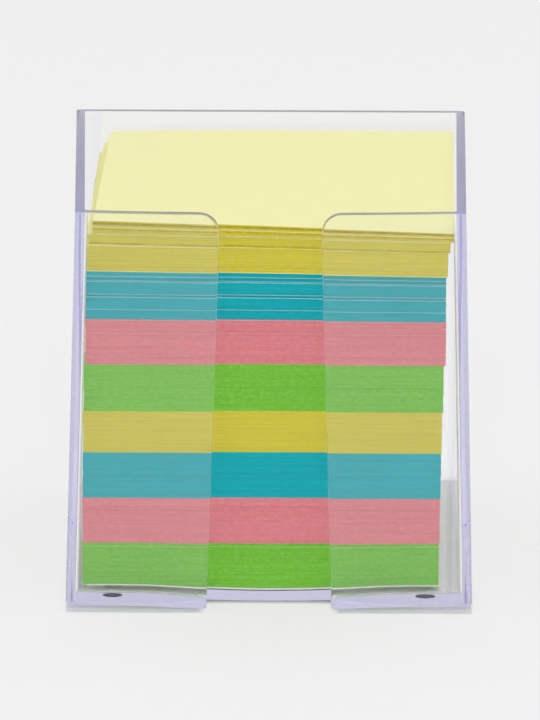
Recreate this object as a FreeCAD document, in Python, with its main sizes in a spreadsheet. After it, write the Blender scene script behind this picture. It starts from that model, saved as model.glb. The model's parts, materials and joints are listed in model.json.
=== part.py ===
import FreeCAD, Part
import os

import Sketcher

# A clear moulded memo cube holder on four feet, filled with loose note sheets.
# X runs to the right, the finger slot faces -Y and Z is up. The origin lies on the
# table under the middle of the holder. All lengths are in millimetres.

doc = FreeCAD.newDocument("memo_cube_holder")
sheet = doc.addObject("Spreadsheet::Sheet", "Sizes")

SIZES = {
    # the notes and their card
    "note_size": 88.9,
    "card_trim": 0.4,
    "card_thickness": 0.45,
    "top_sheet_thickness": 0.1,
    "shifted_yellow_thickness": 2.5,
    "loose_yellow_thickness": 2.55,
    "upper_yellow_thickness": 6.5,
    "upper_teal_thickness": 11.75,
    "upper_pink_thickness": 11.5,
    "upper_green_thickness": 12.1,
    "lower_yellow_thickness": 10.7,
    "lower_teal_thickness": 11.8,
    "lower_pink_thickness": 11.8,
    "lower_green_thickness": 10.85,
    # the play of the notes between the walls, measured at the corners
    "side_play": 3.92,
    "front_play": 5.89,
    "back_play": 3.51,
    "seat_clearance": 0.1,
    # how far each piece lies to the left (-) or right, as a share of the side play at the rim
    "card_shift_share": -1.26,
    "lower_green_shift_share": -2.12,
    "lower_pink_shift_share": -1.98,
    "lower_teal_shift_share": -1.86,
    "lower_yellow_shift_share": -1.74,
    "upper_green_shift_share": -1.52,
    "upper_pink_shift_share": -1.05,
    "upper_teal_shift_share": -1.18,
    "upper_yellow_shift_share": -0.81,
    "loose_yellow_shift_share": -0.28,
    "shifted_yellow_shift_share": 0.7,
    "top_sheet_shift_share": 0.79,
    # the upper notes lie loosely, so their corners stand above or below the even height
    "lift_front_left": 1.2,
    "lift_front_right": -1.2,
    "lift_back_left": 1.3,
    "lift_back_right": 1.8,
    "loose_pink_share": 0.2,
    "loose_teal_share": 0.45,
    "loose_yellow_share": 0.6,
    # the moulding
    "holder_height": 101.75,
    "wall": 2.3,
    "floor_thickness": 2.55,
    "outer_edge_radius": 1.2,
    "inner_edge_radius": 1.0,
    "rim_edge_radius": 0.3,
    # the warp of the moulding: side walls lean in at the front, wings bow out, and the
    # floor sags, above more than below
    "toe_in": 2.9,
    "rim_bow": 1.8,
    "base_bow": 0.7,
    "bow_centre_share": 0.45,
    "floor_sag": 1.35,
    "underside_sag": 0.85,
    "sag_blend_share": 0.3,
    # the finger slot
    "slot_width_at_rim": 24.65,
    "slot_width_at_table": 31.15,
    "notch_depth": 7.6,
    "wing_top_radius": 5.0,
    "wing_foot_radius": 1.3,
    # the feet, which carry the flat flanks of the floor and keep its sag off the table
    "table_clearance": 0.3,
    "foot_diameter": 5.0,
    "foot_side_inset": 11.6,
    "foot_end_inset": 14.1,
    "foot_edge_radius": 0.4,
    "foot_to_sag": 1.57,
    # one overrun serves every cut, and one slack every test of where an edge lies
    "overrun": 1.0,
    "selection_slack": 0.1,
}

for row, (alias, number) in enumerate(SIZES.items(), start=1):
    sheet.set(f"A{row}", alias)
    sheet.set(f"B{row}", str(number))
    sheet.setAlias(f"B{row}", alias)
doc.recompute()


def value(expression):
    """The present value of an expression of the sheet's sizes."""
    return float(sheet.evalExpression(expression))


# Sizes and places that several pieces share, as expressions of the sheet's sizes.
HALF_NOTE = "(Sizes.note_size / 2)"
HALF_WIDTH = f"({HALF_NOTE} + Sizes.side_play + Sizes.wall)"
DEPTH = "(Sizes.note_size + Sizes.front_play + Sizes.back_play + 2 * Sizes.wall)"
MIDDLE_Y = "(Sizes.bow_centre_share * Sizes.rim_bow)"
BACK = f"({MIDDLE_Y} + {DEPTH} / 2)"
FRONT = f"({MIDDLE_Y} - {DEPTH} / 2)"
STACK_Y = f"({MIDDLE_Y} + (Sizes.front_play - Sizes.back_play) / 2)"
RIM_PLAY = "(Sizes.side_play - Sizes.toe_in)"
LOWEST_UNDERSIDE = "Sizes.table_clearance"
UNDERSIDE = f"({LOWEST_UNDERSIDE} + Sizes.underside_sag)"
LOWEST_FLOOR_TOP = f"({LOWEST_UNDERSIDE} + Sizes.floor_thickness)"
FLOOR_TOP = f"({LOWEST_FLOOR_TOP} + Sizes.floor_sag)"
RIM = f"({UNDERSIDE} + Sizes.holder_height)"
CARD_TOP = f"({FLOOR_TOP} + Sizes.card_thickness)"
SLOT_BACK = f"({FRONT} + Sizes.notch_depth)"
FOOT_X = f"({HALF_WIDTH} - Sizes.foot_side_inset)"
SAG_HALF_WIDTH = f"({FOOT_X} - Sizes.foot_diameter / 2 - Sizes.foot_to_sag)"
NONE = "0"


def origin_plane(body, role):
    """The body's own origin plane, such as XY_Plane."""
    return next(plane for plane in body.Origin.OriginFeatures if plane.Role == role)


def new_body(label):
    body = doc.addObject("PartDesign::Body", label)
    body.Label = label
    return body


def outline(body, name, role, height, corners):
    """A closed sketch on an origin plane, moved along the plane's normal by height.

    Each corner is (x, y, radius): expressions of its place and of the radius of the
    arc from it to the next corner, or None for a straight line. A radius written
    with a leading minus bends the arc to the right of the way round.
    """
    sketch = body.newObject("Sketcher::SketchObject", name)
    sketch.AttachmentSupport = (origin_plane(body, role), [""])
    sketch.MapMode = "FlatFace"
    sketch.setExpression("AttachmentOffset.Base.z", height)
    places = [FreeCAD.Vector(value(x), value(y), 0) for x, y, radius in corners]
    count = len(corners)
    for index, (x, y, radius) in enumerate(corners):
        start, end = places[index], places[(index + 1) % count]
        if radius is None:
            sketch.addGeometry(Part.LineSegment(start, end))
            continue
        chord = end - start
        left = FreeCAD.Vector(-chord.y, chord.x, 0).normalize()
        reach = abs(value(radius))
        rise = reach - (reach ** 2 - chord.Length ** 2 / 4) ** 0.5
        side = -1 if radius.startswith("-") else 1
        sketch.addGeometry(Part.Arc(start, start + chord / 2 + left * rise * side, end))
    for index, (x, y, radius) in enumerate(corners):
        first, last = (2, 1) if turns_clockwise(radius) else (1, 2)
        following = (index + 1) % count
        joint = 2 if turns_clockwise(corners[following][2]) else 1
        sketch.addConstraint(Sketcher.Constraint("Coincident", index, last, following, joint))
        across = sketch.addConstraint(
            Sketcher.Constraint("DistanceX", -1, 1, index, first, places[index].x))
        sketch.setExpression(f"Constraints[{across}]", x)
        up = sketch.addConstraint(
            Sketcher.Constraint("DistanceY", -1, 1, index, first, places[index].y))
        sketch.setExpression(f"Constraints[{up}]", y)
        if radius is not None:
            bend = sketch.addConstraint(
                Sketcher.Constraint("Radius", index, abs(value(radius))))
            sketch.setExpression(f"Constraints[{bend}]", radius.lstrip("-"))
    return sketch


def turns_clockwise(radius):
    """True for an arc that a sketch keeps with its start and end swapped."""
    return radius is not None and not radius.startswith("-")


def edges_where(feature, wanted):
    """Names of the feature's edges whose bounding box passes the test."""
    return [f"Edge{number}" for number, edge in enumerate(feature.Shape.Edges, start=1)
            if wanted(edge.BoundBox)]


def fillet(body, name, base, radius, wanted):
    doc.recompute()
    rounding = body.newObject("PartDesign::Fillet", name)
    rounding.Base = (base, edges_where(base, wanted))
    rounding.setExpression("Radius", radius)
    return rounding


def loft(body, name, kind, first, second):
    feature = body.newObject(f"PartDesign::{kind}", name)
    feature.Profile = first
    feature.Sections = [second]
    feature.Ruled = True


def sag_curve(top, sag):
    """Corners of the sagging floor line from left to right: two S-bends in three arcs."""
    bend = f"({SAG_HALF_WIDTH} ^ 2 + ({sag}) ^ 2) / (2 * ({sag}))"
    shoulder = f"{SAG_HALF_WIDTH} * (1 - Sizes.sag_blend_share)"
    fallen = f"{top} - Sizes.sag_blend_share * ({sag})"
    return [
        (f"-({SAG_HALF_WIDTH})", top, f"{bend} * Sizes.sag_blend_share"),
        (f"-({shoulder})", fallen, f"-{bend} * (1 - Sizes.sag_blend_share)"),
        (shoulder, fallen, f"{bend} * Sizes.sag_blend_share"),
        (SAG_HALF_WIDTH, top, None),
    ]


def mirrored(curve):
    """A sag curve's corners from right to left, for the upper side of a card."""
    places = [(x, y) for x, y, radius in reversed(curve)]
    bends = [radius for x, y, radius in curve][-2::-1]
    turned = [bend.lstrip("-") if bend.startswith("-") else f"-{bend}" for bend in bends]
    return [(x, y, radius) for (x, y), radius in zip(places, [*turned, None])]


def plan(body, name, height, inset, toe_in, bow):
    """The plan outline of the moulding at a height, inset by a wall where wanted."""
    half = f"({HALF_WIDTH} - {inset})"
    half_front = f"({half} - {toe_in})"
    bend = f"({half_front} ^ 2 + {bow} ^ 2) / (2 * {bow})"
    return outline(body, name, "XY_Plane", height, [
        (f"-{half}", f"{BACK} - {inset}", None),
        (f"-{half_front}", f"{FRONT} + {inset}", f"-{bend}"),
        (half_front, f"{FRONT} + {inset}", None),
        (half, f"{BACK} - {inset}", None),
    ])


def add_outside(body):
    """The outer form with its sagging underside, rounded at the corners and below."""
    base = plan(body, "base_plan", LOWEST_UNDERSIDE, NONE, NONE, "Sizes.base_bow")
    rim = plan(body, "rim_plan", RIM, NONE, "Sizes.toe_in", "Sizes.rim_bow")
    loft(body, "outside", "AdditiveLoft", base, rim)

    reach = f"({HALF_WIDTH} + Sizes.overrun)"
    under = f"({LOWEST_UNDERSIDE} - Sizes.overrun)"
    below = outline(body, "below_floor", "XZ_Plane", NONE, [
        (f"-{reach}", UNDERSIDE, None), *sag_curve(UNDERSIDE, "Sizes.underside_sag"),
        (reach, UNDERSIDE, None), (reach, under, None), (f"-{reach}", under, None),
    ])
    underside = body.newObject("PartDesign::Pocket", "underside")
    underside.Profile = below
    underside.Type = "ThroughAll"
    underside.Midplane = True

    upright = value("Sizes.holder_height / 2")
    low = value(f"{UNDERSIDE} + Sizes.overrun / 2")
    fillet(body, "outer_edges", underside, "Sizes.outer_edge_radius",
           lambda box: box.ZLength > upright or (box.ZMax < low and not runs_through(box)))


def runs_through(box):
    """True for an edge of the sag's own bends, which runs from front to back."""
    return (box.YLength > value(f"{DEPTH} / 2")
            and abs(box.Center.x) < value(f"{HALF_WIDTH} - Sizes.wall"))


def add_cavity(body):
    """The hollow for the notes, its floor raised to the sag, rounded in its corners."""
    wall = "Sizes.wall"
    inner_base = plan(body, "cavity_base", LOWEST_FLOOR_TOP, wall, NONE, "Sizes.base_bow")
    inner_rim = plan(body, "cavity_rim", RIM, wall, "Sizes.toe_in", "Sizes.rim_bow")
    loft(body, "cavity", "SubtractiveLoft", inner_base, inner_rim)

    side = f"({HALF_WIDTH} - Sizes.wall / 2)"
    buried = f"({UNDERSIDE} + {LOWEST_FLOOR_TOP}) / 2"
    fill = outline(body, "floor_fill", "XZ_Plane", f"-{MIDDLE_Y}", [
        (f"-{side}", FLOOR_TOP, None), *sag_curve(FLOOR_TOP, "Sizes.floor_sag"),
        (side, FLOOR_TOP, None), (side, buried, None), (f"-{side}", buried, None),
    ])
    floor = body.newObject("PartDesign::Pad", "raised_floor")
    floor.Profile = fill
    floor.Midplane = True
    floor.setExpression("Length", f"{DEPTH} - Sizes.wall")

    upright = value("Sizes.holder_height / 2")
    reach = value(f"{HALF_WIDTH} - Sizes.wall + Sizes.selection_slack")
    back = value(f"{BACK} - Sizes.wall + Sizes.selection_slack")
    front = value(f"{FRONT} + Sizes.wall - Sizes.base_bow - Sizes.selection_slack")
    low = value(f"{LOWEST_FLOOR_TOP} - Sizes.selection_slack")
    high = value(f"{FLOOR_TOP} + Sizes.selection_slack")

    def inside_edge(box):
        within = (-reach < box.XMin and box.XMax < reach
                  and front < box.YMin and box.YMax < back)
        floor_edge = low < box.ZMin and box.ZMax < high and not runs_through(box)
        return within and (box.ZLength > upright or floor_edge)

    fillet(body, "inner_edges", floor, "Sizes.inner_edge_radius", inside_edge)


def add_finger_slot(body):
    """The slot between the wings and on into the floor, with its rounded corners.

    Its sides lean outwards towards the table. The arcs at the wings' tops and feet
    touch the leaning sides, so their ends are worked out from the lean.
    """
    rim_half = "Sizes.slot_width_at_rim / 2"
    table_half = "Sizes.slot_width_at_table / 2"
    lean = f"(({table_half} - {rim_half}) / ({RIM} - {LOWEST_UNDERSIDE}))"
    slant = f"sqrt(1 + {lean} ^ 2)"

    def touch(radius, height):
        """The arc's middle across, and the point where it touches the leaning side."""
        middle = f"({table_half} - {lean} * ({height} - {LOWEST_UNDERSIDE}) + {radius} * {slant})"
        return middle, f"({middle} - {radius} / {slant})", f"({height} - {radius} * {lean} / {slant})"

    top, foot = "Sizes.wing_top_radius", "Sizes.wing_foot_radius"
    top_middle, top_x, top_z = touch(top, f"({RIM} - {top})")
    foot_middle, foot_x, foot_z = touch(foot, f"({LOWEST_UNDERSIDE} + {foot})")
    over = f"({RIM} + Sizes.overrun)"
    ahead = f"(Sizes.rim_bow + Sizes.overrun - {FRONT})"
    cut = outline(body, "slot", "XZ_Plane", ahead, [
        (f"-{top_middle}", over, None),
        (f"-{top_middle}", RIM, top),
        (f"-{top_x}", top_z, None),
        (f"-{foot_x}", foot_z, foot),
        (f"-{foot_middle}", LOWEST_UNDERSIDE, None),
        (f"-{foot_middle}", NONE, None),
        (foot_middle, NONE, None),
        (foot_middle, LOWEST_UNDERSIDE, foot),
        (foot_x, foot_z, None),
        (top_x, top_z, top),
        (top_middle, RIM, None),
        (top_middle, over, None),
    ])
    slot = body.newObject("PartDesign::Pocket", "finger_slot")
    slot.Profile = cut
    slot.setExpression("Length", f"{ahead} + {SLOT_BACK}")

    near_rim = value(f"{RIM} - Sizes.overrun / 2")
    fillet(body, "rim_edges", slot, "Sizes.rim_edge_radius", lambda box: box.ZMin > near_rim)


def make_clear_holder():
    """One moulding with a floor, a back wall, two side walls and two front wings."""
    body = new_body("clear_holder")
    add_outside(body)
    add_cavity(body)
    add_finger_slot(body)


def make_foot(label, across, along):
    """A round pad under the floor, softened where it meets the table."""
    body = new_body(label)
    disc = body.newObject("Sketcher::SketchObject", f"{label}_disc")
    disc.AttachmentSupport = (origin_plane(body, "XY_Plane"), [""])
    disc.MapMode = "FlatFace"
    middle, up = FreeCAD.Vector(0, 0, 0), FreeCAD.Vector(0, 0, 1)
    disc.addGeometry(Part.Circle(middle, up, value("Sizes.foot_diameter / 2")))
    disc.addConstraint(Sketcher.Constraint("Coincident", 0, 3, -1, 1))
    width = disc.addConstraint(
        Sketcher.Constraint("Diameter", 0, value("Sizes.foot_diameter")))
    disc.setExpression(f"Constraints[{width}]", "Sizes.foot_diameter")
    pad = body.newObject("PartDesign::Pad", f"{label}_pad")
    pad.Profile = disc
    pad.setExpression("Length", UNDERSIDE)
    slack = value("Sizes.selection_slack")
    fillet(body, f"{label}_edge", pad, "Sizes.foot_edge_radius", lambda box: box.ZMax < slack)
    body.setExpression("Placement.Base.x", across)
    body.setExpression("Placement.Base.y", along)


def make_backing_card():
    """The card follows the sagging floor, with a little clearance where it sags."""
    body = new_body("backing_card")
    half = f"({HALF_NOTE} - Sizes.card_trim / 2)"
    shift = f"{RIM_PLAY} * Sizes.card_shift_share"
    left, right = f"({shift} - {half})", f"({shift} + {half})"
    sag = "(Sizes.floor_sag - Sizes.seat_clearance)"
    corners = [
        (left, FLOOR_TOP, None), *sag_curve(FLOOR_TOP, sag), (right, FLOOR_TOP, None),
        (right, CARD_TOP, None), *mirrored(sag_curve(CARD_TOP, sag)), (left, CARD_TOP, None),
    ]
    front = outline(body, "card_front", "XZ_Plane", f"-({STACK_Y} - {half})", corners)
    back = outline(body, "card_back", "XZ_Plane", f"-({STACK_Y} + {half})", corners)
    loft(body, "card", "AdditiveLoft", front, back)


# The bundles from the bottom up, with the share of the corner lifts at their upper side.
LEVEL = "0"
BUNDLES = {
    "lower_green": LEVEL,
    "lower_pink": LEVEL,
    "lower_teal": LEVEL,
    "lower_yellow": LEVEL,
    "upper_green": LEVEL,
    "upper_pink": "Sizes.loose_pink_share",
    "upper_teal": "Sizes.loose_teal_share",
    "upper_yellow": "Sizes.loose_yellow_share",
    "loose_yellow": "Sizes.loose_yellow_share",
    "shifted_yellow": "1",
    "top_sheet": "1",
}


def make_bundle(name, level, share_below, share_above):
    """A bundle of notes from a level up, with each corner lifted by its share.

    The first follows the card's sag, and one that lies on a warped side keeps a
    little clearance from it. Returns the level of the upper side.
    """
    body = new_body(name if name == "top_sheet" else f"{name}_sheets")
    if share_below != LEVEL:
        level = f"({level} + Sizes.seat_clearance)"
    top = f"({level} + Sizes.{name}_thickness)"
    shift = f"{RIM_PLAY} * Sizes.{name}_shift_share"
    left, right = f"({shift} - {HALF_NOTE})", f"({shift} + {HALF_NOTE})"
    sag = []
    if level == CARD_TOP:
        sag = sag_curve(level, "(Sizes.floor_sag - 2 * Sizes.seat_clearance)")
    ends = []
    for end, along in (("front", f"{STACK_Y} - {HALF_NOTE}"), ("back", f"{STACK_Y} + {HALF_NOTE}")):
        lift_left, lift_right = f"Sizes.lift_{end}_left", f"Sizes.lift_{end}_right"
        ends.append(outline(body, f"{name}_{end}", "XZ_Plane", f"-({along})", [
            (left, f"{level} + {share_below} * {lift_left}", None), *sag,
            (right, f"{level} + {share_below} * {lift_right}", None),
            (right, f"{top} + {share_above} * {lift_right}", None),
            (left, f"{top} + {share_above} * {lift_left}", None),
        ]))
    loft(body, f"{name}_block", "AdditiveLoft", *ends)
    return top


make_clear_holder()
for end, along in (("front", f"{FRONT} + Sizes.foot_end_inset"),
                   ("rear", f"{BACK} - Sizes.foot_end_inset")):
    make_foot(f"foot_{end}_left", f"-{FOOT_X}", along)
    make_foot(f"foot_{end}_right", FOOT_X, along)
make_backing_card()
level, share_below = CARD_TOP, LEVEL
for name, share_above in BUNDLES.items():
    level = make_bundle(name, level, share_below, share_above)
    share_below = share_above
doc.recompute()

for item in doc.Objects:
    if "Invalid" in item.State or "Error" in item.State:
        raise RuntimeError(f"{item.Label} failed: {item.State}")

os.makedirs("parts", exist_ok=True)
for body in doc.findObjects("PartDesign::Body"):
    shape = body.Shape
    if shape.isNull() or not shape.isValid():
        raise RuntimeError(f"{body.Label} has no valid shape")
    print(body.Label, round(shape.Volume, 1))
    shape.exportStep(f"parts/{body.Label}.step")
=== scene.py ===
import json
import math
import random

import bpy
from mathutils import Matrix, Vector

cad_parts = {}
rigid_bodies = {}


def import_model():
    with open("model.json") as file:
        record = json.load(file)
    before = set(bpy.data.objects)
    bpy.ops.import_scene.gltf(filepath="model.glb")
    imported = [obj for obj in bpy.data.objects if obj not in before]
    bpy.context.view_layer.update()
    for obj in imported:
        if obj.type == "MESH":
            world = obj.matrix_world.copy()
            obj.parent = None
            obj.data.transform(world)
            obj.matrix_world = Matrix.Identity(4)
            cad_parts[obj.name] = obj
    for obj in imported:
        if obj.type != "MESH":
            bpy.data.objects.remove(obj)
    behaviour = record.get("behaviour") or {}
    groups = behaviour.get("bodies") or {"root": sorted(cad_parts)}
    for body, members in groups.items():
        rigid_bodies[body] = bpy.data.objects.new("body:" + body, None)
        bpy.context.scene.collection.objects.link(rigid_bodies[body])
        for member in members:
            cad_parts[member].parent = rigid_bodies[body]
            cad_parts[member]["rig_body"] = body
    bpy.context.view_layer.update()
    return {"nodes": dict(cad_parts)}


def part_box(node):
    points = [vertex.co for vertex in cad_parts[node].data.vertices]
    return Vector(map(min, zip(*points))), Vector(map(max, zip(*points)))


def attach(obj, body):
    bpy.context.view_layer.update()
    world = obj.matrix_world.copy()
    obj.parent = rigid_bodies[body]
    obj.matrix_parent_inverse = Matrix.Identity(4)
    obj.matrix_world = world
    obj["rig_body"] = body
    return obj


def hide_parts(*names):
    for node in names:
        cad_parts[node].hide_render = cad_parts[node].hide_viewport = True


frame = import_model()
NODES = frame["nodes"]
MM = 0.001

# The camera, found by matching the box's corners, slot and floor edges in the photo.
PHOTO_HEIGHT_PX = 720
FOCAL_LENGTH_PX = 5861.7
SENSOR_MM = 36.0
CAMERA_DISTANCE = 1.4962
CAMERA_AIM = Vector((0.00006, 0.00146, 0.04993))
CAMERA_AZIMUTH = math.radians(-0.068)
CAMERA_ELEVATION = math.radians(16.59)
CAMERA_ROLL = math.radians(0.27)
CAMERA_SEES = (0.05, 50.0)

# Light runs the whole length of the clear walls and floor, turned back many times.
LIGHT_BOUNCES = 64

# Loose notes: one sheet's thickness and how unevenly the sheets lie.
SHEET_THICKNESS = 0.1 * MM
SHEET_GAP_SHARE = 0.04
EDGE_JITTER = 0.05 * MM
SIDE_JITTER = 0.07 * MM
TWIST_JITTER = math.radians(0.02)
# Beyond this a sheet that stands proud gets a paler edge, a painted highlight.
PROUD_LIMIT = 0.25 * MM

# A CAD solid's points this close to a corner of its box are that corner's.
CORNER_REACH = 1.0 * MM

# A sheet follows the one beneath: how much of that one's place it keeps, how much of a new
# draw it adds to that, and how much of a draw of its own.
DRIFT_KEPT = 0.7
DRIFT_ADDED = 0.5
OWN_PLACE = 0.4

# How finely a sheet is divided along its front and its depth, so that it can sag and warp.
FRONT_SEGMENTS = 12
DEPTH_SEGMENTS = 6

# Slack in comparing two places in a bundle, each a share of its height.
SHARE_TOLERANCE = 1e-9

# The materials of a sheet, by their place in its mesh. The paler edge of a sheet that stands
# proud is a painted highlight; the darker edge of one that lies back is painted shade.
FLAT_SIDE, CUT_EDGE, PAINTED_HIGHLIGHT_EDGE, PAINTED_SHADE_EDGE = range(4)

# The floor's sag shows in the card and the lowest bundle and fades upward.
SAG_HALF_WIDTH = 35.0 * MM
SAG_BLEND_SHARE = 0.3
SAG_FADE = 9.5 * MM
FLOOR_SAG = 1.35 * MM
CARD_SAG = 1.25 * MM
NOTES_SAG = 1.15 * MM
CARD_GAP = 0.05 * MM

# Round pads: the front ones bite into the floor, so they show through it, while the rear
# ones stay just clear of it. How finely they are turned, and their smallest ring as a
# share of the radius.
PAD_BITE = {"front": 0.01 * MM, "rear": -0.02 * MM}
PAD_STEPS = 40
PAD_TIP = 0.02

# A pad's outline from the middle of its underside: shares of the radius and of the height.
PAD_PROFILE = ((0.0, 0.12), (0.35, 0.1), (0.62, 0.0), (0.84, 0.0), (0.93, 0.07), (0.985, 0.2),
               (1.0, 0.4), (1.0, 1.0), (0.0, 1.0))

# Bundles that lie on a warped side: how far their lowest sheet hangs down to it.
GAP_FILL = 0.09 * MM
BUNDLES_ON_WARPED = ("upper_teal", "upper_yellow", "loose_yellow", "shifted_yellow", "top")

# The topmost notes lie turned about the middle of their front edge, in degrees.
TURNS = {"upper_yellow": -0.5, "loose_yellow": -1.3, "shifted_yellow": -1.4, "top": -1.4}

# The back left corner of the topmost notes hangs a little: how far, how far in from the
# corner, and how much of it the lowest and the uppermost sheet of a bundle take.
DROOP = 0.55 * MM
DROOP_REACH = 26.0 * MM
DROOP_SHARES = {"shifted_yellow": (0.0, 1.0), "top": (1.0, 1.0)}

# Places on the holder that the mould left matt: the rim, the finger slot's sides, the
# wings' round corners and the foot of the front.
RIM = 102.9 * MM
RIM_BAND = 0.35 * MM
SLOT_HALF_AT_RIM = 12.325 * MM
SLOT_LEAN = 0.0317
SLOT_BAND = 0.2 * MM
SLOT_DEPTH_Y = -42.9 * MM
WING_CORNER_X = 17.33 * MM
WING_CORNER_Z = 97.9 * MM
WING_CORNER_RADIUS = 5.0 * MM
FRONT_FOOT_Y = -49.5 * MM
FRONT_FOOT_Z = 2.5 * MM

# The clear plastic: its roughness where it is polished and matt, and its lilac tint.
CLEAR_ROUGHNESS = 0.015
MATT_ROUGHNESS = 0.4
PLASTIC_IOR = 1.5
TINT_COLOUR = (0.12, 0.1, 0.68, 1)
TINT_DENSITY = 4.0

# The table: half its size in metres, how strongly it glows, painted light that keeps shadows on
# it faint, and its paint where it glows and where it doesn't.
FLOOR_HALF_SIZE = 6.0
FLOOR_GLOW = 0.605
FLOOR_LIT_PAINT = (0.3, 0.3, 0.3, 1.0)
FLOOR_PLAIN_PAINT = (0.8, 0.8, 0.8, 1.0)

# The part of the table under the holder doesn't glow, except at the finger slot: a painted shadow
# in the holder's outline.
FOOTPRINT_HALF_X = 50.2 * MM
FOOTPRINT_HALF_Y = 51.3 * MM
FOOTPRINT_SOFTNESS = 0.8 * MM
SLOT_HALF_AT_TABLE = 15.6 * MM
SLOT_SOFTNESS = 2.5 * MM


def srgb(red, green, blue):
    """Linear values of a colour given as 0 to 255 on screen."""
    def linear(level):
        level /= 255
        return level / 12.92 if level <= 0.04045 else ((level + 0.055) / 1.055) ** 2.4
    return linear(red), linear(green), linear(blue), 1.0


def add_camera():
    data = bpy.data.cameras.new("camera")
    data.sensor_width = SENSOR_MM
    data.lens = FOCAL_LENGTH_PX * SENSOR_MM / PHOTO_HEIGHT_PX
    data.clip_start, data.clip_end = CAMERA_SEES
    camera = bpy.data.objects.new("camera", data)
    flat = math.cos(CAMERA_ELEVATION)
    back = Vector((math.sin(CAMERA_AZIMUTH) * flat, -math.cos(CAMERA_AZIMUTH) * flat,
                   math.sin(CAMERA_ELEVATION)))
    level = (-back).to_track_quat("-Z", "Y").to_matrix().to_4x4()
    turn = level @ Matrix.Rotation(CAMERA_ROLL, 4, "Z")
    camera.matrix_world = Matrix.Translation(CAMERA_AIM + back * CAMERA_DISTANCE) @ turn
    bpy.context.scene.collection.objects.link(camera)
    bpy.context.scene.camera = camera


# Materials

class Shader:
    """A small helper that builds one node material."""

    def __init__(self, name):
        self.material = bpy.data.materials.new(name)
        self.material.use_nodes = True
        self.tree = self.material.node_tree
        self.surface = self.tree.nodes["Principled BSDF"]
        self.output = self.tree.nodes["Material Output"]

    def node(self, kind, **settings):
        made = self.tree.nodes.new(kind)
        for name, setting in settings.items():
            setattr(made, name, setting)
        return made

    def link(self, source, target):
        self.tree.links.new(source, target)

    def set(self, **values):
        for name, number in values.items():
            self.surface.inputs[name.replace("_", " ")].default_value = number

    def coordinates(self, scale):
        place = self.node("ShaderNodeTexCoord")
        mapping = self.node("ShaderNodeMapping")
        mapping.inputs["Scale"].default_value = scale
        self.link(place.outputs["Object"], mapping.inputs["Vector"])
        return mapping.outputs["Vector"]

    def noise(self, scale, detail=4.0, roughness=0.55):
        """Fractal noise stretched by scale, in cycles per metre along X, Y and Z."""
        texture = self.node("ShaderNodeTexNoise")
        texture.inputs["Scale"].default_value = 1.0
        texture.inputs["Detail"].default_value = detail
        texture.inputs["Roughness"].default_value = roughness
        self.link(self.coordinates(scale), texture.inputs["Vector"])
        return texture.outputs["Fac"]

    def ramp(self, factor, *stops):
        ramp = self.node("ShaderNodeValToRGB")
        elements = ramp.color_ramp.elements
        while len(elements) < len(stops):
            elements.new(0.5)
        for element, (position, colour) in zip(elements, stops):
            element.position = position
            element.color = colour
        self.link(factor, ramp.inputs["Fac"])
        return ramp.outputs["Color"]

    def mix(self, kind, factor, first, second):
        blend = self.node("ShaderNodeMix", data_type="RGBA", blend_type=kind)
        for socket, given in ((blend.inputs["Factor"], factor), (blend.inputs["A"], first),
                              (blend.inputs["B"], second)):
            if isinstance(given, (int, float, tuple)):
                socket.default_value = given
            else:
                self.link(given, socket)
        return blend.outputs["Result"]

    def math(self, operation, *given):
        """A number worked out from sockets or plain numbers."""
        made = self.node("ShaderNodeMath", operation=operation)
        for socket, number in zip(made.inputs, given):
            if isinstance(number, (int, float)):
                socket.default_value = number
            else:
                self.link(number, socket)
        return made.outputs["Value"]

    def step(self, given, start, end, low=0.0, high=1.0):
        """A smooth step from low to high while the given number goes from start to end."""
        made = self.node("ShaderNodeMapRange", interpolation_type="SMOOTHSTEP")
        for name, number in (("From Min", start), ("From Max", end),
                             ("To Min", low), ("To Max", high)):
            made.inputs[name].default_value = number
        self.link(given, made.inputs["Value"])
        return made.outputs["Result"]

    def place(self):
        """The place on the surface along X, Y and Z, in metres."""
        split = self.node("ShaderNodeSeparateXYZ")
        self.link(self.coordinates((1.0, 1.0, 1.0)), split.inputs["Vector"])
        return split.outputs["X"], split.outputs["Y"], split.outputs["Z"]

    def bump(self, height, strength, distance):
        bump = self.node("ShaderNodeBump")
        bump.inputs["Strength"].default_value = strength
        bump.inputs["Distance"].default_value = distance
        self.link(height, bump.inputs["Height"])
        self.link(bump.outputs["Normal"], self.surface.inputs["Normal"])


def paper_face(name, colour):
    """The flat side of a note: matt, with faint fibres and clouds."""
    shader = Shader(name)
    shader.set(Roughness=0.85, Specular_IOR_Level=0.25, Sheen_Weight=0.1)
    clouds = shader.noise((150.0, 150.0, 150.0), detail=4.0)
    fibres = shader.noise((2600.0, 2600.0, 2600.0), detail=5.0, roughness=0.7)
    shade = shader.ramp(clouds, (0.3, (0.98, 0.98, 0.975, 1)), (0.7, (1.0, 1.0, 1.0, 1)))
    tinted = shader.mix("MULTIPLY", 1.0, colour, shade)
    speckle = shader.ramp(fibres, (0.35, (0.975, 0.975, 0.97, 1)), (0.65, (1.0, 1.0, 1.0, 1)))
    shader.link(shader.mix("MULTIPLY", 1.0, tinted, speckle), shader.surface.inputs["Base Color"])
    shader.bump(fibres, 0.25, 0.02 * MM)
    return shader.material


def paper_edge(name, colour, pale):
    """The cut edges of the notes: streaked sheet by sheet, with pale cloudy patches."""
    shader = Shader(name)
    shader.set(Roughness=0.9, Specular_IOR_Level=0.15)
    streaks = shader.noise((30.0, 30.0, 4600.0), detail=3.0, roughness=0.6)
    grain = shader.noise((800.0, 800.0, 1300.0), detail=4.0, roughness=0.65)
    patches = shader.ramp(grain, (0.4, (0, 0, 0, 1)), (0.66, (1, 1, 1, 1)))
    base = shader.mix("MIX", patches, colour, pale)
    shade = shader.ramp(streaks, (0.3, (0.88, 0.88, 0.88, 1)), (0.7, (1.05, 1.05, 1.05, 1)))
    shader.link(shader.mix("MULTIPLY", 1.0, base, shade), shader.surface.inputs["Base Color"])
    shader.bump(streaks, 0.35, 0.03 * MM)
    return shader.material


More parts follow.
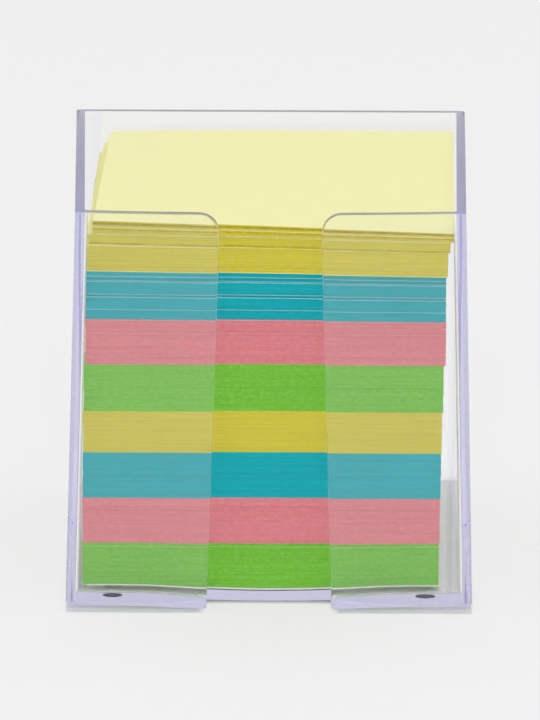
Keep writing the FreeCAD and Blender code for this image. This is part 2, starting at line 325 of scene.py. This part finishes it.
def clear_plastic():
    """Clear moulded polystyrene with a faint lilac tint that deepens along the walls.

    The rim, the sides of the finger slot and the rounded foot of the front are matt.
    """
    shader = Shader("clear_plastic")
    shader.set(IOR=PLASTIC_IOR, Transmission_Weight=1.0, Base_Color=(1, 1, 1, 1))
    x, y, z = shader.place()
    rim = shader.step(z, RIM - RIM_BAND, RIM - RIM_BAND / 2)
    slot_half = shader.math("MULTIPLY_ADD", z, -SLOT_LEAN, SLOT_HALF_AT_RIM + SLOT_LEAN * RIM)
    outward = shader.math("ABSOLUTE", x)
    beside = shader.math("SUBTRACT", outward, slot_half)
    side = shader.step(beside, SLOT_BAND, SLOT_BAND / 2)
    corner_x = shader.math("MAXIMUM", shader.math("SUBTRACT", WING_CORNER_X, outward), 0.0)
    corner_z = shader.math("MAXIMUM", shader.math("SUBTRACT", z, WING_CORNER_Z), 0.0)
    round_off = shader.math("SQRT", shader.math("ADD", shader.math("MULTIPLY", corner_x, corner_x),
                                                shader.math("MULTIPLY", corner_z, corner_z)))
    corner = shader.step(round_off, WING_CORNER_RADIUS - SLOT_BAND,
                         WING_CORNER_RADIUS - SLOT_BAND / 2)
    front = shader.step(y, SLOT_DEPTH_Y, SLOT_DEPTH_Y - SLOT_BAND / 2)
    edge = shader.math("MULTIPLY", shader.math("MAXIMUM", side, corner), front)
    low = shader.step(z, FRONT_FOOT_Z, FRONT_FOOT_Z - SLOT_BAND)
    ahead = shader.step(y, FRONT_FOOT_Y, FRONT_FOOT_Y - SLOT_BAND)
    foot = shader.math("MULTIPLY", low, ahead)
    matt = shader.math("MAXIMUM", shader.math("MAXIMUM", rim, edge), foot)
    roughness = shader.math("MULTIPLY_ADD", matt, MATT_ROUGHNESS - CLEAR_ROUGHNESS, CLEAR_ROUGHNESS)
    shader.link(roughness, shader.surface.inputs["Roughness"])
    waves = shader.noise((45.0, 45.0, 12.0), detail=2.0)
    shader.bump(waves, 0.06, 0.25 * MM)
    tint = shader.node("ShaderNodeVolumeAbsorption")
    tint.inputs["Color"].default_value = TINT_COLOUR
    tint.inputs["Density"].default_value = TINT_DENSITY
    shader.link(tint.outputs["Volume"], shader.output.inputs["Volume"])
    return shader.material


def foot_pad():
    shader = Shader("foot_pad")
    shader.set(Roughness=0.6)
    grain = shader.noise((900.0, 900.0, 900.0))
    shader.link(shader.ramp(grain, (0.3, srgb(92, 88, 96)), (0.7, srgb(112, 108, 116))),
                shader.surface.inputs["Base Color"])
    shader.bump(grain, 0.3, 0.05 * MM)
    return shader.material


def card_stock():
    shader = Shader("card_stock")
    shader.set(Roughness=0.8, Specular_IOR_Level=0.25)
    fibres = shader.noise((700.0, 700.0, 2400.0), detail=5.0, roughness=0.7)
    shader.link(shader.ramp(fibres, (0.3, srgb(238, 243, 230)), (0.7, srgb(248, 251, 242))),
                shader.surface.inputs["Base Color"])
    shader.bump(fibres, 0.3, 0.03 * MM)
    return shader.material


def floor_paint():
    """A pale studio floor that glows, painted light like a light table's, so shadows stay faint.

    Under the holder, except at the finger slot, it doesn't glow and is plain paint: a painted
    shadow in the holder's outline, over the real shade there, so the holder keeps its contact
    shadow.
    """
    shader = Shader("studio_floor")
    shader.set(Roughness=0.75, Specular_IOR_Level=0.0, Emission_Color=(1, 1, 1, 1))
    x, y, _ = shader.place()
    far_x, far_y = shader.math("ABSOLUTE", x), shader.math("ABSOLUTE", y)
    across = shader.step(far_x, FOOTPRINT_HALF_X + FOOTPRINT_SOFTNESS, FOOTPRINT_HALF_X)
    along = shader.step(far_y, FOOTPRINT_HALF_Y + FOOTPRINT_SOFTNESS, FOOTPRINT_HALF_Y)
    slot_across = shader.step(far_x, SLOT_HALF_AT_TABLE + SLOT_SOFTNESS, SLOT_HALF_AT_TABLE)
    slot_along = shader.step(y, SLOT_DEPTH_Y, SLOT_DEPTH_Y - SLOT_SOFTNESS)
    in_slot = shader.math("MULTIPLY", slot_across, slot_along)
    # Under the holder's outline, less the slot, the floor doesn't glow: a painted shadow.
    covered = shader.math("MULTIPLY", across, along)
    under = shader.math("MULTIPLY", covered, shader.math("SUBTRACT", 1.0, in_slot))
    glow = shader.math("MULTIPLY_ADD", under, -FLOOR_GLOW, FLOOR_GLOW)
    paint = shader.mix("MIX", under, FLOOR_LIT_PAINT, FLOOR_PLAIN_PAINT)
    shader.link(glow, shader.surface.inputs["Emission Strength"])
    shader.link(paint, shader.surface.inputs["Base Color"])
    return shader.material


# On screen: the flat side, the cut edge, its pale patches, the paler edge of a sheet that stands
# proud, a painted highlight, and the darker edge of one that lies back, painted shade.
PAPERS = {
    "yellow": (srgb(249, 247, 182), srgb(213, 200, 52), srgb(215, 204, 90),
               srgb(232, 226, 130), srgb(190, 166, 14)),
    "teal": (srgb(150, 218, 226), srgb(0, 174, 185), srgb(30, 181, 190),
             srgb(120, 206, 212), srgb(0, 156, 170)),
    "pink": (srgb(246, 190, 196), srgb(228, 130, 138), srgb(228, 150, 156),
             srgb(240, 172, 178), srgb(206, 110, 120)),
    "green": (srgb(176, 224, 130), srgb(112, 199, 46), srgb(142, 202, 92),
              srgb(166, 220, 122), srgb(92, 176, 36)),
}


# Sheets

def corner_levels(node):
    """Lowest and highest z at each upright corner of a node: {(side, end): (low, high)}."""
    low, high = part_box(node)
    levels = {}
    for side, x in ((-1, low.x), (1, high.x)):
        for end, y in ((-1, low.y), (1, high.y)):
            heights = [v.co.z for v in NODES[node].data.vertices
                       if abs(v.co.x - x) < CORNER_REACH and abs(v.co.y - y) < CORNER_REACH]
            levels[side, end] = (min(heights), max(heights))
    return levels


def sag_share(x):
    """The floor's fall at x as a share of its deepest: two S-bends like the moulding's."""
    share = abs(x) / SAG_HALF_WIDTH
    if share >= 1.0:
        return 0.0
    if share > 1.0 - SAG_BLEND_SHARE:
        return (1.0 - share) ** 2 / SAG_BLEND_SHARE
    return 1.0 - share ** 2 / (1.0 - SAG_BLEND_SHARE)


def droop_at(x, y, left, back):
    """How far the topmost notes hang near their back left corner."""
    away = math.hypot(x - left, y - back) / DROOP_REACH
    return DROOP * max(0.0, 1.0 - away) ** 2


class Heap:
    """Vertices and faces of many thin sheets in one mesh."""

    def __init__(self):
        self.points, self.faces, self.kinds = [], [], []

    def add_edge(self, first, second, lift, flip, kind):
        """A face of a sheet's cut edge between two points and those that lie lift further on."""
        quad = (first, second, second + lift, first + lift)
        self.faces.append(quad[::-1] if flip else quad)
        self.kinds.append(kind)

    def add_sheet(self, x_low, x_high, y_low, y_high, twist, under, over, edge_kind=CUT_EDGE):
        """A sheet whose two sides are the functions under(x, y) and over(x, y).

        It is turned by twist about the middle of its front edge.
        """
        columns, rows = FRONT_SEGMENTS + 1, DEPTH_SEGMENTS + 1
        start = len(self.points)
        middle_x, middle_y = (x_low + x_high) / 2, y_low
        cosine, sine = math.cos(twist), math.sin(twist)
        for side in (under, over):
            for row in range(rows):
                y = y_low + (y_high - y_low) * row / DEPTH_SEGMENTS
                for column in range(columns):
                    x = x_low + (x_high - x_low) * column / FRONT_SEGMENTS
                    dx, dy = x - middle_x, y - middle_y
                    self.points.append((middle_x + dx * cosine - dy * sine,
                                        middle_y + dx * sine + dy * cosine, side(x, y)))
        lift = columns * rows

        def at(row, column):
            """The lower side's point there. The upper side's lies lift further on."""
            return start + row * columns + column

        for row in range(DEPTH_SEGMENTS):
            for column in range(FRONT_SEGMENTS):
                a, b = at(row, column), at(row, column + 1)
                c, d = at(row + 1, column + 1), at(row + 1, column)
                self.faces += [(a, d, c, b), (a + lift, b + lift, c + lift, d + lift)]
                self.kinds += [FLAT_SIDE, FLAT_SIDE]
        for column in range(FRONT_SEGMENTS):
            for row, flip in ((0, False), (DEPTH_SEGMENTS, True)):
                self.add_edge(at(row, column), at(row, column + 1), lift, flip, edge_kind)
        for row in range(DEPTH_SEGMENTS):
            for column, flip in ((0, True), (FRONT_SEGMENTS, False)):
                self.add_edge(at(row, column), at(row + 1, column), lift, flip, edge_kind)

    def to_object(self, name, materials):
        mesh = bpy.data.meshes.new(name)
        mesh.from_pydata(self.points, [], self.faces)
        mesh.polygons.foreach_set("material_index", self.kinds)
        for material in materials:
            mesh.materials.append(material)
        mesh.update()
        made = bpy.data.objects.new(name, mesh)
        bpy.context.scene.collection.objects.link(made)
        return made


# Sheets that stand proud (+) or lie back (-) at the front: share of the bundle's height,
# how far in millimetres, and how many sheets. Those that lie back get a darker edge, painted
# shade, and those that stand out further than PROUD_LIMIT a paler one, a painted highlight.
ODD_SHEETS = {
    "upper_teal": ((0.915, 0.5, 1), (0.83, 0.45, 1), (0.8, 0.35, 1), (0.54, 0.55, 1),
                   (0.475, 0.5, 1), (0.215, 0.55, 1)),
    "upper_pink": ((0.985, 0.4, 1), (0.7, 0.3, 1), (0.4, 0.15, 1)),
    "lower_pink": ((0.74, 0.25, 1),),
    "lower_green": ((0.93, 0.35, 1),),
    "upper_yellow": ((0.985, 0.35, 1), (0.35, 0.15, 1), (0.2, -0.02, 1), (0.02, 0.4, 1)),
    "loose_yellow": ((0.06, -0.05, 4), (0.94, 0.3, 1), (0.7, 0.15, 1)),
    "shifted_yellow": ((0.84, -0.6, 8), (0.58, 0.35, 1), (0.34, -0.05, 4), (0.04, 0.35, 1)),
}

# Of the loose notes the uppermost lie further left: from which share of the height, how far.
LEFT_SHEETS = {"loose_yellow": (0.8, 0.5 * MM)}


def offset_of(name, share, count):
    """How far a sheet at this share of the height stands proud, in metres."""
    for place, reach, sheets in ODD_SHEETS.get(name, ()):
        if abs(share - place) < sheets / 2 / count + SHARE_TOLERANCE:
            return reach * MM
    return 0.0


def edge_kind_of(proud):
    """The cut edge's material: paler where it stands proud, a painted highlight, and darker where
    it lies back, painted shade.
    """
    if proud > PROUD_LIMIT:
        return PAINTED_HIGHLIGHT_EDGE
    return PAINTED_SHADE_EDGE if proud < 0 else CUT_EDGE


def add_piece(heap, name, node, materials):
    """Turns a heap into the piece that stands for a CAD node."""
    piece = heap.to_object(name, materials)
    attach(piece, NODES[node]["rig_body"])
    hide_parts(node)
    return piece


def add_bundle(node, materials, sag_top):
    """Replaces a CAD bundle with its separate loose sheets."""
    name = node.replace("_sheets", "").replace("_sheet", "")
    low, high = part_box(node)
    hang_down = GAP_FILL if name in BUNDLES_ON_WARPED else 0.0
    levels = {corner: (bottom - hang_down, top)
              for corner, (bottom, top) in corner_levels(node).items()}
    tall = sum(top - bottom for bottom, top in levels.values()) / len(levels)
    count = max(1, round(tall / SHEET_THICKNESS))
    dice = random.Random(node)
    heap = Heap()
    drift = 0.0
    turn = math.radians(TURNS.get(name, 0.0))
    left_from, left_reach = LEFT_SHEETS.get(name, (1.0, 0.0))
    droop_low, droop_high = DROOP_SHARES.get(name, (0.0, 0.0))

    def level(x, y, share):
        """The height of the bundle at x and y, at this share of its thickness."""
        across = (x - low.x) / (high.x - low.x)
        along = (y - low.y) / (high.y - low.y)
        heights = {corner: bottom + (top - bottom) * share
                   for corner, (bottom, top) in levels.items()}
        front = heights[-1, -1] * (1 - across) + heights[1, -1] * across
        rear = heights[-1, 1] * (1 - across) + heights[1, 1] * across
        flat = front * (1 - along) + rear * along
        hang = droop_at(x, y, low.x, high.y) * (droop_low + (droop_high - droop_low) * share)
        sag = NOTES_SAG * sag_share(x) * math.exp(-(flat - sag_top) / SAG_FADE)
        return flat - hang - sag

    thick = (1 - SHEET_GAP_SHARE) / count
    for index in range(count):
        drift = DRIFT_KEPT * drift + dice.gauss(0, EDGE_JITTER) * DRIFT_ADDED
        share = (index + 0.5) / count
        proud = offset_of(name, share, count)
        back = drift + dice.gauss(0, EDGE_JITTER) * OWN_PLACE - proud
        aside = dice.gauss(0, SIDE_JITTER)
        if share > left_from:
            aside -= left_reach
        bottom_share = index / count
        heap.add_sheet(
            low.x + aside, high.x + aside, low.y + back, high.y + back,
            turn + dice.gauss(0, TWIST_JITTER),
            lambda x, y: level(x, y, bottom_share),
            lambda x, y: level(x, y, bottom_share + thick), edge_kind_of(proud))
    add_piece(heap, f"{name}_notes", node, materials)


def add_card(material):
    """The card under the notes, lying just clear of the sagging floor."""
    low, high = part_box("backing_card")
    flank = corner_levels("backing_card")[-1, -1]
    heap = Heap()
    heap.add_sheet(low.x, high.x, low.y, high.y, 0.0,
                   lambda x, y: flank[0] + CARD_GAP - FLOOR_SAG * sag_share(x),
                   lambda x, y: flank[1] - CARD_GAP / 2 - CARD_SAG * sag_share(x))
    add_piece(heap, "card_sheet", "backing_card", [material, material])


def add_foot(node, material):
    """A round pad under the floor, with a soft lower edge and a shallow hollow underneath."""
    low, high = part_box(node)
    middle_x, middle_y = (low.x + high.x) / 2, (low.y + high.y) / 2
    end = "front" if middle_y < 0 else "rear"
    radius, height = (high.x - low.x) / 2, high.z + PAD_BITE[end]
    heap = Heap()
    for share, up in PAD_PROFILE:
        reach = max(share, PAD_TIP) * radius
        for step in range(PAD_STEPS):
            angle = 2 * math.pi * step / PAD_STEPS
            heap.points.append((middle_x + reach * math.cos(angle),
                                middle_y + reach * math.sin(angle), up * height))
    for ring in range(len(PAD_PROFILE) - 1):
        for step in range(PAD_STEPS):
            after = (step + 1) % PAD_STEPS
            first, second = ring * PAD_STEPS, (ring + 1) * PAD_STEPS
            heap.faces.append((first + step, first + after, second + after, second + step))
            heap.kinds.append(0)
    last = (len(PAD_PROFILE) - 1) * PAD_STEPS
    heap.faces += [tuple(reversed(range(PAD_STEPS))), tuple(range(last, last + PAD_STEPS))]
    heap.kinds += [0, 0]
    add_piece(heap, node.replace("foot", "pad"), node, [material])


def colour_of(node):
    """The paper named in a node's name. The top sheet names none and is yellow."""
    return next((colour for colour in PAPERS if colour in node), "yellow")


# The stage

def add_floor():
    size = FLOOR_HALF_SIZE
    mesh = bpy.data.meshes.new("studio_floor")
    mesh.from_pydata([(-size, -size, 0), (size, -size, 0), (size, size, 0), (-size, size, 0)],
                     [], [(0, 1, 2, 3)])
    mesh.materials.append(floor_paint())
    floor = bpy.data.objects.new("studio_floor", mesh)
    bpy.context.scene.collection.objects.link(floor)


# The room is brightest low at the back, as from a pale backdrop. It fades in while the
# cosine of the angle to its middle goes from the first number of BACKDROP_EDGE to the second.
ROOM_LEVEL = 0.55
BACKDROP_LEVEL = 0.78
BACKDROP_DIRECTION = (0.0, 0.947, 0.32)
BACKDROP_EDGE = (0.8, 0.97)

# Square lamps aimed at the middle of the part: name, place, size in metres and watts.
LAMP_AIM = Vector((0, 0, 0.05))
LAMPS = (
    ("overhead", (0.0, 0.2, 2.0), 2.0, 13.5),
    ("front", (0.0, -1.85, 1.05), 1.2, 12.0),
)


def add_backdrop(tree):
    background = tree.nodes["Background"]
    background.inputs["Color"].default_value = (1, 1, 1, 1)
    place = tree.nodes.new("ShaderNodeTexCoord")
    towards = tree.nodes.new("ShaderNodeVectorMath")
    towards.operation = "DOT_PRODUCT"
    towards.inputs[1].default_value = BACKDROP_DIRECTION
    tree.links.new(place.outputs["Generated"], towards.inputs[0])
    level = tree.nodes.new("ShaderNodeMapRange")
    level.interpolation_type = "SMOOTHSTEP"
    for name, number in (("From Min", BACKDROP_EDGE[0]), ("From Max", BACKDROP_EDGE[1]),
                         ("To Min", ROOM_LEVEL), ("To Max", BACKDROP_LEVEL)):
        level.inputs[name].default_value = number
    tree.links.new(towards.outputs["Value"], level.inputs["Value"])
    tree.links.new(level.outputs["Result"], background.inputs["Strength"])


def add_light():
    world = bpy.data.worlds.new("studio")
    bpy.context.scene.world = world
    world.use_nodes = True
    add_backdrop(world.node_tree)
    for name, place, size, power in LAMPS:
        data = bpy.data.lights.new(name, "AREA")
        data.shape = "SQUARE"
        data.size = size
        data.energy = power
        lamp = bpy.data.objects.new(name, data)
        lamp.location = place
        aim = LAMP_AIM - Vector(place)
        lamp.rotation_euler = aim.to_track_quat("-Z", "Y").to_euler()
        bpy.context.scene.collection.objects.link(lamp)


def add_papers():
    """Each colour's materials, in the order of a sheet's kinds of face."""
    papers = {}
    for colour, (face, edge, pale, proud, painted_shade) in PAPERS.items():
        papers[colour] = [paper_face(f"{colour}_face", face),
                          paper_edge(f"{colour}_edge", edge, pale),
                          # A proud sheet's paler edge is a painted highlight, with the flat side's
                          # colour for its patches; the darker edge of one that lies back is painted
                          # shade.
                          paper_edge(f"{colour}_painted_highlight_edge", proud, face),
                          paper_edge(f"{colour}_painted_shade_edge", painted_shade, edge)]
    return papers


def dress():
    holder = NODES["clear_holder"]
    holder.data.materials.clear()
    holder.data.materials.append(clear_plastic())
    pad = foot_pad()
    papers = add_papers()
    add_card(card_stock())
    _, card_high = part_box("backing_card")
    for node in NODES:
        if node.startswith("foot"):
            add_foot(node, pad)
        elif node.endswith("_sheets") or node == "top_sheet":
            colour = colour_of(node)
            add_bundle(node, papers[colour], card_high.z)


scene = bpy.context.scene
scene.view_settings.view_transform = "Standard"
scene.view_settings.look = "None"
scene.cycles.max_bounces = LIGHT_BOUNCES
scene.cycles.transmission_bounces = LIGHT_BOUNCES
scene.cycles.glossy_bounces = LIGHT_BOUNCES
scene.cycles.blur_glossy = 0.0
add_camera()
add_floor()
add_light()
dress()
